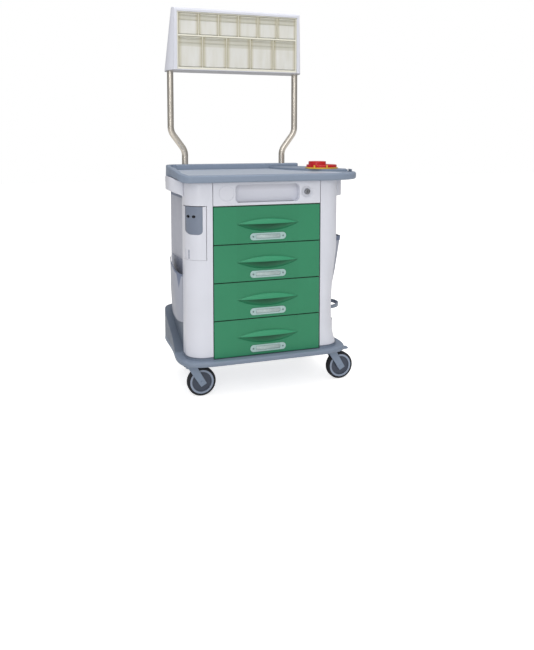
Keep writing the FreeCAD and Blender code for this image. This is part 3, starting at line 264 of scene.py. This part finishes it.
def brushed(name, colour, roughness, along, depth=0.12):
    """Brushed metal with fine lines; along is the stretch of the grain on each axis."""
    surface = Surface(name, roughness, metallic=1.0)
    lines = surface.noise(160.0, 5.0, stretch=along)
    broad = surface.noise(9.0, 2.0)
    shade = surface.mix(surface.remap(lines, 0.3, 0.7, 0.0, 1.0), tone(colour, 0.86), tone(colour, 1.08))
    surface.colour(surface.mix(surface.remap(broad, 0.35, 0.65, 0.0, 0.35), shade, tone(colour, 0.8)))
    surface.rough(surface.remap(lines, 0.3, 0.7, roughness * 0.75, roughness * 1.3))
    surface.bump(lines, depth, 0.0002)
    return surface


WHITE = srgb(222, 224, 234)
BLUE_GREY = srgb(132, 145, 164)
SKIN_GREY = srgb(181, 184, 197)
POCKET = srgb(165, 169, 182)
POCKET_BACK = srgb(146, 152, 170)
RIM_GREY = srgb(112, 122, 146)
TRAY_FLOOR_LIGHT = srgb(178, 187, 201)
HOLE_SHADE = (0.004, 0.004, 0.006)
GREEN = srgb(45, 136, 97)
CREAM = srgb(238, 236, 222)

# Left and right edges of the tray floor in millimetres, as (depth, side) points.
TRAY_LEFT = ((-6.0, -349.0), (40.0, -370.0), (230.0, -370.0), (420.0, -339.0), (478.0, -319.0))
TRAY_RIGHT = ((-6.0, 329.0), (40.0, 369.0), (128.0, 329.0), (205.0, 261.0), (300.0, 214.0),
              (400.0, 189.0), (478.0, 176.0))


def inside(surface, value, middle, half, soft=0.5):
    """1 within half of the middle, 0 beyond it."""
    away = surface.math("ABSOLUTE", surface.math("SUBTRACT", value, middle))
    return surface.below(away, half, soft)


def row_offset(surface, level):
    """Height in millimetres above the nearest of the levels that repeat at the drawer pitch."""
    turns = surface.math("DIVIDE", surface.math("SUBTRACT", surface.place("Z"), level), DRAWER_PITCH)
    part = surface.math("FRACT", surface.math("ADD", turns, 0.5))
    return surface.math("MULTIPLY", surface.math("SUBTRACT", part, 0.5), DRAWER_PITCH)


def grip_zones(surface, shade):
    """Drawer fronts: painted shade in the scooped finger hold, painted light on the brow over it and
    painted shadow lines in the gaps between fronts.
    """
    x, y = surface.place("X"), surface.place("Y")
    middle = surface.below(surface.math("ABSOLUTE", x), GRIP_HALF, 1.0)
    # Painted shade in the scooped finger hold and painted light on the brow above it.
    scoop_shade = surface.math("MULTIPLY", surface.remap(y, 4.0, 13.5, 0.05, 0.85), middle)
    brow = surface.math("MULTIPLY", surface.remap(y, -0.5, -6.0, 0.0, 0.7), middle)
    shade = surface.mix(scoop_shade, shade, tone(GREEN, 0.38))
    shade = surface.mix(brow, shade, tone(GREEN, 1.34))
    # Painted shadow lines in the gaps between the drawer fronts.
    away = surface.math("ABSOLUTE", row_offset(surface, DRAWER_TOP))
    gap_shadow = surface.below(away, 2.6, 0.4)
    return surface.mix(surface.math("MULTIPLY", gap_shadow, 0.85), shade, tone(GREEN, 0.16))


def skin_zones(surface, shade):
    """Side skins: a painted shadow under the left push handle, laid on in dark grey."""
    # Painted shadow under the left push handle, laid on in dark grey.
    band = surface.step(surface.place("Z"), HANDLE_SHADOW_FOOT, 1.5)
    left = surface.below(surface.place("X"), 0.0, 1.0)
    return surface.mix(surface.math("MULTIPLY", band, left), shade, RIM_GREY)


def pocket_zones(surface, shade):
    """Pockets: dark beads along the rims, a drain notch below the left one and its grey back plate."""
    x, y, z = (surface.place(name) for name in "XYZ")
    left = surface.below(x, 0.0, 1.0)
    plate = surface.math("MULTIPLY", surface.step(x, POCKET_FACE, 0.3),
                         surface.step(z, POCKET_PLATE_LOW, 1.0))
    shade = surface.mix(surface.math("MULTIPLY", plate, left), shade, POCKET_BACK)
    rise = surface.math("SUBTRACT", z, surface.remap(y, 118.0, 200.0, 0.0, 28.0))
    rise = surface.math("SUBTRACT", rise, surface.remap(y, 200.0, 300.0, 0.0, 14.0))
    front = surface.below(x, POCKET_FACE, 0.3)
    bead = surface.math("MULTIPLY", surface.step(rise, POCKET_BEAD_LOW, 1.0), front)
    across = surface.math("ABSOLUTE", surface.math("SUBTRACT", y, NOTCH_MIDDLE))
    fall = surface.math("SUBTRACT", z, surface.math("MULTIPLY", across, NOTCH_SLOPE))
    notch = surface.math("MULTIPLY", surface.step(fall, NOTCH_TIP, 3.0), front)
    notch = surface.math("MULTIPLY", notch, surface.remap(z, 460.0, 530.0, 0.75, 1.0))
    left_dark = surface.math("MULTIPLY", left, surface.math("MAXIMUM", bead, notch))
    right_dark = surface.math("MULTIPLY", surface.math("SUBTRACT", 1.0, left),
                              surface.step(z, RIGHT_RIM_LOW, 0.4))
    return surface.mix(surface.math("MAXIMUM", left_dark, right_dark), shade, RIM_GREY)


def worktop_zones(surface, shade):
    """Base and worktop: painted light on the pale tray floor, painted shade on the dark wing, a painted
    shadow line at the seam under the columns, and painted shade on a lip of the base, which leaves it a
    little darker than the rim of the worktop."""
    x, y, z = (surface.place(name) for name in "XYZ")
    # Painted light: the tray floor is laid on paler than the rest of the moulding.
    past_left = surface.math("SUBTRACT", x, surface.polyline(y, TRAY_LEFT))
    past_right = surface.math("SUBTRACT", x, surface.polyline(y, TRAY_RIGHT))
    across = surface.math("MULTIPLY", surface.step(past_left, 0.0, 0.5),
                          surface.below(past_right, 0.0, 0.5))
    in_tray = surface.math("MULTIPLY", inside(surface, y, 236.0, 242.5), across)
    floor = surface.math("MULTIPLY", inside(surface, z, 960.0, 7.0, 1.5), in_tray)
    shade = surface.mix(floor, shade, TRAY_FLOOR_LIGHT)
    behind = surface.step(y, COLUMN_REAR, 1.0)
    before = surface.math("SUBTRACT", 1.0, behind)
    # Painted shade on the wing of the base.
    wing = surface.math("MULTIPLY", surface.step(z, WING_LOW, 3.0), inside(surface, z, 240.0, 70.0, 1.0))
    shade = surface.mix(surface.math("MULTIPLY", wing, behind), shade, tone(BLUE_GREY, 0.62))
    # Painted shadow line at the seam under the columns.
    gap_shadow = surface.math("MULTIPLY", inside(surface, z, PLINTH_JOINT, 3.0, 1.0), before)
    shade = surface.mix(surface.math("MULTIPLY", gap_shadow, 0.8), shade, tone(BLUE_GREY, 0.45))
    # Painted shade on the outer lip of the base.
    apron = surface.math("MULTIPLY", surface.below(z, APRON_TOP, 3.0), before)
    shade = surface.mix(apron, shade, tone(BLUE_GREY, 0.9))
    rim = surface.math("MULTIPLY", surface.step(z, WORKTOP_LOW, 3.0),
                       surface.math("SUBTRACT", 1.0, floor))
    return surface.mix(rim, shade, tone(BLUE_GREY, 1.07))


def insert_zones(surface, shade):
    """Door insert: painted shade makes the two lock holes black right out to their lips."""
    x, z = surface.place("X"), surface.place("Z")
    for middle, half in SOCKETS:
        turn_x = surface.math("DIVIDE", surface.math("SUBTRACT", x, middle), half)
        turn_z = surface.math("DIVIDE", surface.math("SUBTRACT", z, SOCKET_HEIGHT), SOCKET_HALF_HEIGHT)
        # Painted shade: the lock holes are black out to their lips.
        hole_shade = surface.below(surface.squares(turn_x, turn_z), 1.0, 0.12)
        shade = surface.mix(hole_shade, shade, HOLE_SHADE)
    return shade


def housing_zones(surface, shade):
    """Bin housing: painted shade makes its underside a darker grey, and painted light makes its left
    cheek a little paler.
    """
    outward = surface.math("MULTIPLY", surface.place("X"), -1.0)
    # Painted light: the left cheek is laid on paler.
    cheek = surface.math("MULTIPLY", surface.step(outward, CHEEK_SIDE, 2.0),
                         surface.step(surface.place("Y"), CHEEK_FRONT, 1.5))
    shade = surface.mix(cheek, shade, tone(WHITE, 1.12))
    # Painted shade: the underside is laid on darker grey.
    under = surface.below(surface.place("Z"), HOUSING_FOOT, 0.6)
    return surface.mix(under, shade, tone(WHITE, 0.5))


def fascia_zones(surface, shade):
    """Fascia: painted shade over the upper part of the hand recess, and a painted shadow line along its
    foot.
    """
    # Painted shade over the upper part of the hand recess.
    deep = surface.step(surface.place("Y"), 12.0, 8.0)
    high = surface.remap(surface.place("Z"), 888.0, 898.0, 0.0, 1.0)
    shade = surface.mix(surface.math("MULTIPLY", deep, high), shade, tone(WHITE, 0.88))
    # Painted shadow line along the foot of the fascia.
    foot = surface.below(surface.place("Z"), FASCIA_FOOT, 0.5)
    return surface.mix(foot, shade, tone(GREEN, 0.25))


def label_zones(surface, shade):
    """Label holders: the heads of their two screws are dark."""
    across = surface.math("SUBTRACT", surface.math("ABSOLUTE", surface.place("X")), LABEL_SCREW)
    far = surface.squares(across, row_offset(surface, LABEL_MIDDLE))
    head = surface.below(far, 16.0, 4.0)
    return surface.mix(surface.math("MULTIPLY", head, 0.8), shade, srgb(84, 94, 100))


def door_zones(surface, shade):
    """Column door: a ribbed finger catch on the round corner near its foot, darkened by painted shade."""
    x, z = surface.place("X"), surface.place("Z")
    # Painted shade in the finger catch, in ribs.
    ribs = surface.remap(surface.math("SINE", surface.math("MULTIPLY", z, 1.05)), -1.0, 1.0, 0.35, 0.9)
    catch = surface.math("MULTIPLY", inside(surface, x, CATCH_PLACE, 2.2),
                         inside(surface, z, CATCH_HEIGHT, 19.0, 1.0))
    return surface.mix(surface.math("MULTIPLY", catch, ribs), shade, RIM_GREY)


MATERIALS = {
    "column_white": moulded("white_shell", WHITE, 0.34, grain=0.05, coat=0.15, scuff=0.04),
    "moulding_grey": moulded("blue_grey_moulding", BLUE_GREY, 0.46, grain=0.16, grain_scale=1100.0,
                             edge=0.002, zones=worktop_zones),
    "panel_grey": moulded("side_skin", SKIN_GREY, 0.42, grain=0.08, zones=skin_zones),
    "pocket_grey": moulded("pocket_shell", POCKET, 0.4, grain=0.08, zones=pocket_zones),
    "trim_grey": moulded("grey_trim", srgb(128, 138, 154), 0.4, grain=0.10),
    "drawer_green": moulded("green_drawer", GREEN, 0.46, grain=0.08, scuff=0.05, zones=grip_zones),
    "tray_grey": moulded("drawer_tray_plastic", srgb(196, 198, 203), 0.5),
    "label_clear": moulded("label_holder_plastic", srgb(166, 196, 194), 0.22, grain=0.04, coat=0.5,
                           zones=label_zones),
    "carcass_paint": moulded("powder_coat", srgb(150, 156, 164), 0.55, grain=0.25, grain_scale=700.0),
    "zinc": brushed("zinc_plate", srgb(180, 182, 186), 0.35, (1.0, 1.0, 1.0)),
    "lock_chrome": brushed("lock_steel", srgb(150, 152, 158), 0.2, (1.0, 1.0, 6.0)),
    "steel_tube": brushed("stainless_tube", srgb(224, 217, 206), 0.26, (6.0, 6.0, 0.02), depth=0.004),
    "frame_cream": moulded("cream_frame", CREAM, 0.35, grain=0.05, coat=0.1),
    "sharps_yellow": moulded("sharps_yellow", srgb(236, 190, 60), 0.35, grain=0.06),
    "sharps_red": moulded("sharps_red", srgb(206, 12, 20), 0.32, grain=0.06, coat=0.2),
    "fork_grey": moulded("caster_fork", srgb(134, 149, 170), 0.42, grain=0.10),
    "tyre_black": moulded("tyre_rubber", srgb(26, 28, 34), 0.75, grain=0.25, grain_scale=900.0),
}


def clear_bin(row):
    """Yellowed clear polystyrene: milky face, thick tan side walls, a darker band at the top and dark
    lines across it, the top one a painted shadow under the frame bar.
    """
    surface = Surface("bin_polystyrene_" + row, 0.16, coat=0.2)
    surface.shader.inputs["Transmission Weight"].default_value = 0.25
    surface.shader.inputs["IOR"].default_value = 1.3
    names = [name for name in NODES if name.startswith("tilt_bin_%s_" % row)]
    first_low, first_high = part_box("tilt_bin_%s_1" % row)
    pitch = (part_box("tilt_bin_%s_%d" % (row, len(names)))[0][0] - first_low[0]) / (len(names) - 1)
    middle = (first_low[0] + first_high[0]) / 2.0
    from_edge = surface.math("SUBTRACT", surface.axis("X"), middle - pitch / 2.0)
    turns = surface.math("DIVIDE", from_edge, pitch)
    across = surface.math("ABSOLUTE", surface.math("SUBTRACT", surface.math("FRACT", turns), 0.5))
    wall = surface.remap(across, 0.33, 0.46, 0.0, 1.0)
    height = surface.math("SUBTRACT", first_high[2], surface.axis("Z"))
    depth = {"lower": 0.047, "upper": 0.035}[row]
    band = surface.remap(height, depth, depth - 0.003, 0.0, 1.0)
    # Dark lines across the band; the top one, 3 mm under the bin's top edge, is a painted shadow of the
    # frame bar.
    lines = 0.0
    for level in (0.003, 0.013, 0.028):
        away = surface.math("ABSOLUTE", surface.math("SUBTRACT", height, level))
        line = surface.remap(away, 0.0012, 0.0022, 1.0, 0.0)
        lines = surface.math("MAXIMUM", line, lines)
    cloud = surface.noise(14.0, 3.0, stretch=(3.0, 3.0, 0.6))
    milky = surface.mix(surface.remap(cloud, 0.3, 0.7, 0.0, 1.0),
                        srgb(242, 241, 232), srgb(251, 251, 247))
    shade = surface.mix(surface.math("MULTIPLY", band, 0.38), milky, srgb(206, 204, 180))
    shade = surface.mix(surface.math("MULTIPLY", lines, 0.4), shade, srgb(176, 170, 144))
    surface.colour(surface.mix(surface.math("MULTIPLY", wall, 0.75), shade, srgb(206, 198, 166)))
    surface.rough(surface.remap(surface.noise(40.0, 4.0), 0.3, 0.7, 0.1, 0.26))
    surface.edges(0.0008)
    surface.bump(surface.noise(30.0, 2.0), 0.08, 0.001)
    return surface


def wheel_centre(node):
    """Pale rim ring round a dark disc, with a pale hub."""
    low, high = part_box(node)
    centre = [(low[axis] + high[axis]) / 2.0 for axis in range(3)]
    dark = srgb(70, 78, 94)

    def zones(surface, shade):
        out_x = surface.math("SUBTRACT", surface.axis("X"), centre[0])
        out_z = surface.math("SUBTRACT", surface.axis("Z"), centre[2])
        radius = surface.math("SQRT", surface.squares(out_x, out_z))
        ring = surface.step(radius, RIM_RING_RADIUS, 0.0004)
        hub = surface.below(radius, HUB_RADIUS, 0.0003)
        return surface.mix(surface.math("MAXIMUM", ring, hub), dark, shade)

    return moulded("wheel_" + node, srgb(150, 162, 182), 0.45, grain=0.10, zones=zones)


NODE_MATERIALS = {
    "bin_housing": moulded("housing_shell", WHITE, 0.34, grain=0.05, coat=0.15, scuff=0.04,
                           zones=housing_zones),
    "fascia": moulded("fascia_shell", WHITE, 0.34, grain=0.05, coat=0.15, scuff=0.04,
                      zones=fascia_zones, crease_shade=0.15),
    "door_insert": moulded("door_insert_plastic", srgb(122, 132, 150), 0.4, grain=0.10,
                           zones=insert_zones),
    "column_door": moulded("door_shell", WHITE, 0.34, grain=0.05, coat=0.15, scuff=0.04,
                           zones=door_zones),
}
BIN_MATERIALS = {row: clear_bin(row) for row in ("lower", "upper")}


def paint(node, surface):
    mesh = NODES[node].data
    mesh.materials.clear()
    mesh.materials.append(surface.material)


for entry in frame["record"]["subparts"]:
    name, slot = entry["node"], entry["material_slot"]
    if slot == "bin_clear":
        paint(name, BIN_MATERIALS[name.split("_")[2]])
    elif slot == "wheel_grey":
        paint(name, wheel_centre(name))
    elif name in NODE_MATERIALS:
        paint(name, NODE_MATERIALS[name])
    else:
        paint(name, MATERIALS[slot])


# ------------------------------------------------------------------ pieces

def finish_piece(mesh_data, name, surface, body):
    mesh = bpy.data.meshes.new(name)
    mesh_data.to_mesh(mesh)
    mesh_data.free()
    piece = bpy.data.objects.new(name, mesh)
    bpy.context.scene.collection.objects.link(piece)
    mesh.materials.append(surface.material)
    for face in mesh.polygons:
        face.use_smooth = True
    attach(piece, body)
    return piece


def rounded_plate(width, height, radius, steps=6):
    """Corner points of a rounded rectangle in the X-Z plane, about its middle."""
    points = []
    for turn, (sx, sz) in enumerate(((1, 1), (-1, 1), (-1, -1), (1, -1))):
        for step in range(steps + 1):
            angle = math.radians(90.0 * turn + 90.0 * step / steps)
            points.append((sx * (width / 2.0 - radius) + radius * math.cos(angle),
                           sz * (height / 2.0 - radius) + radius * math.sin(angle)))
    return points


def card_material():
    surface = Surface("label_card", 0.6)
    fibre = surface.noise(420.0, 6.0, stretch=(1.0, 1.0, 2.0))
    blotch = surface.noise(60.0, 3.0)
    shade = surface.mix(surface.remap(fibre, 0.3, 0.7, 0.0, 1.0),
                        srgb(168, 188, 187), srgb(190, 205, 205))
    surface.colour(surface.mix(surface.remap(blotch, 0.45, 0.65, 0.0, 0.4), shade, srgb(206, 218, 218)))
    surface.rough(surface.remap(blotch, 0.3, 0.7, 0.5, 0.7))
    surface.bump(fibre, 0.2, 0.0003)
    return surface


def make_label_cards():
    """A slightly bowed card in the recess of each label holder."""
    surface = card_material()
    for number in range(1, 5):
        low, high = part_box("label_holder_%d" % number)
        middle = Vector(((low[0] + high[0]) / 2.0, low[1] + CARD_SETBACK, (low[2] + high[2]) / 2.0))
        outline = rounded_plate(CARD_WIDTH, CARD_HEIGHT, CARD_CORNER)
        data = bmesh.new()
        rings = []
        for depth in (0.0, CARD_THICK):
            bowed = [(x, depth - CARD_BOW * (1.0 - (2.0 * x / CARD_WIDTH) ** 2), z) for x, z in outline]
            rings.append([data.verts.new(middle + Vector(point)) for point in bowed])
        front, back = rings
        data.faces.new(front)
        data.faces.new(list(reversed(back)))
        count = len(front)
        for index in range(count):
            after = (index + 1) % count
            data.faces.new((front[after], front[index], back[index], back[after]))
        bmesh.ops.recalc_face_normals(data, faces=data.faces)
        finish_piece(data, "label_card_%d" % number, surface, "drawer_%d" % number)


make_label_cards()


# ------------------------------------------------------------------ stage, light and camera

def area_light(name, place, target, size, energy):
    lamp = bpy.data.lights.new(name, "AREA")
    lamp.shape = "RECTANGLE"
    lamp.size, lamp.size_y = size
    lamp.energy = energy
    holder = bpy.data.objects.new(name, lamp)
    holder.location = place
    holder.rotation_euler = (Vector(target) - Vector(place)).to_track_quat("-Z", "Y").to_euler()
    bpy.context.scene.collection.objects.link(holder)


def make_floor():
    mesh = bpy.data.meshes.new("floor")
    half = 14.0
    corners = [(-half, -half, 0), (half, -half, 0), (half, half, 0), (-half, half, 0)]
    mesh.from_pydata(corners, [], [(0, 1, 2, 3)])
    floor = bpy.data.objects.new("floor", mesh)
    bpy.context.scene.collection.objects.link(floor)
    surface = Surface("pale_floor", 0.7)
    cloud = surface.remap(surface.noise(2.0, 4.0), 0.3, 0.7, 0.0, 1.0)
    surface.colour(surface.mix(cloud, (0.90, 0.885, 0.865), (0.93, 0.915, 0.895)))
    surface.rough(surface.remap(cloud, 0.0, 1.0, 0.65, 0.75))
    surface.shader.inputs["Emission Color"].default_value = (1.0, 1.0, 1.0, 1.0)
    seen = surface.node("ShaderNodeLightPath").outputs["Is Camera Ray"]
    surface.link(surface.remap(seen, 0.0, 1.0, 0.04, 0.66), surface.shader.inputs["Emission Strength"])
    mesh.materials.append(surface.material)


def make_world():
    """Soft room light, strongest from above and in front, on a plain white background."""
    world = bpy.data.worlds.new("studio")
    world.use_nodes = True
    tree = world.node_tree
    room = tree.nodes["Background"]
    room.inputs["Color"].default_value = (1.0, 1.0, 1.0, 1.0)
    direction = tree.nodes.new("ShaderNodeTexCoord").outputs["Generated"]

    def lobe(toward, start, end, strength):
        dot = tree.nodes.new("ShaderNodeVectorMath")
        dot.operation = "DOT_PRODUCT"
        dot.inputs[1].default_value = Vector(toward).normalized()
        tree.links.new(direction, dot.inputs[0])
        ramp = tree.nodes.new("ShaderNodeMapRange")
        ramp.interpolation_type = "SMOOTHSTEP"
        for key, value in zip(RANGE_SOCKETS, (start, end, 0.0, strength)):
            ramp.inputs[key].default_value = value
        tree.links.new(dot.outputs["Value"], ramp.inputs["Value"])
        return ramp.outputs["Result"]

    total = None
    for part in (lobe((0, 0, 1), -0.1, 0.9, 0.50), lobe((-0.45, -1.0, 0.35), 0.2, 0.95, 0.33),
                 lobe((0.9, -0.5, 0.2), 0.6, 0.95, 0.05)):
        adder = tree.nodes.new("ShaderNodeMath")
        adder.operation = "ADD"
        tree.links.new(part, adder.inputs[0])
        if total is None:
            adder.inputs[1].default_value = 0.18
        else:
            tree.links.new(total, adder.inputs[1])
        total = adder.outputs["Value"]
    tree.links.new(total, room.inputs["Strength"])
    plain = tree.nodes.new("ShaderNodeBackground")
    plain.inputs["Color"].default_value = (1.0, 1.0, 1.0, 1.0)
    plain.inputs["Strength"].default_value = 1.0
    seen = tree.nodes.new("ShaderNodeLightPath").outputs["Is Camera Ray"]
    choose = tree.nodes.new("ShaderNodeMixShader")
    tree.links.new(seen, choose.inputs["Fac"])
    tree.links.new(room.outputs["Background"], choose.inputs[1])
    tree.links.new(plain.outputs["Background"], choose.inputs[2])
    tree.links.new(choose.outputs["Shader"], tree.nodes["World Output"].inputs["Surface"])
    bpy.context.scene.world = world


def make_camera():
    """Front left of the trolley, a little above the worktop, level to within five degrees."""
    camera = bpy.data.cameras.new("camera")
    camera.sensor_width = 36.0
    camera.lens = 37.39
    camera.shift_x = 0.0049
    camera.shift_y = -0.2006
    camera.clip_end = 60.0
    holder = bpy.data.objects.new("camera", camera)
    yaw, pitch = 0.3325, 0.0845
    holder.location = cab(-959.6, -2721.9, 1114.0)
    forward = Vector((math.sin(yaw) * math.cos(pitch), math.cos(yaw) * math.cos(pitch), -math.sin(pitch)))
    holder.rotation_euler = forward.to_track_quat("-Z", "Y").to_euler()
    bpy.context.scene.collection.objects.link(holder)
    bpy.context.scene.camera = holder


make_floor()
make_world()
make_camera()
area_light("key", (-0.8, -4.2, 2.6), (0, 0, 0.8), (2.6, 2.0), 22.0)
area_light("top", (0.0, -0.6, 3.8), (0, 0, 0.9), (2.6, 2.0), 32.0)
area_light("strip", (-2.3, -3.4, 1.3), (0, 0.2, 1.2), (0.35, 2.4), 11.0)
bpy.context.scene.view_settings.view_transform = "Standard"
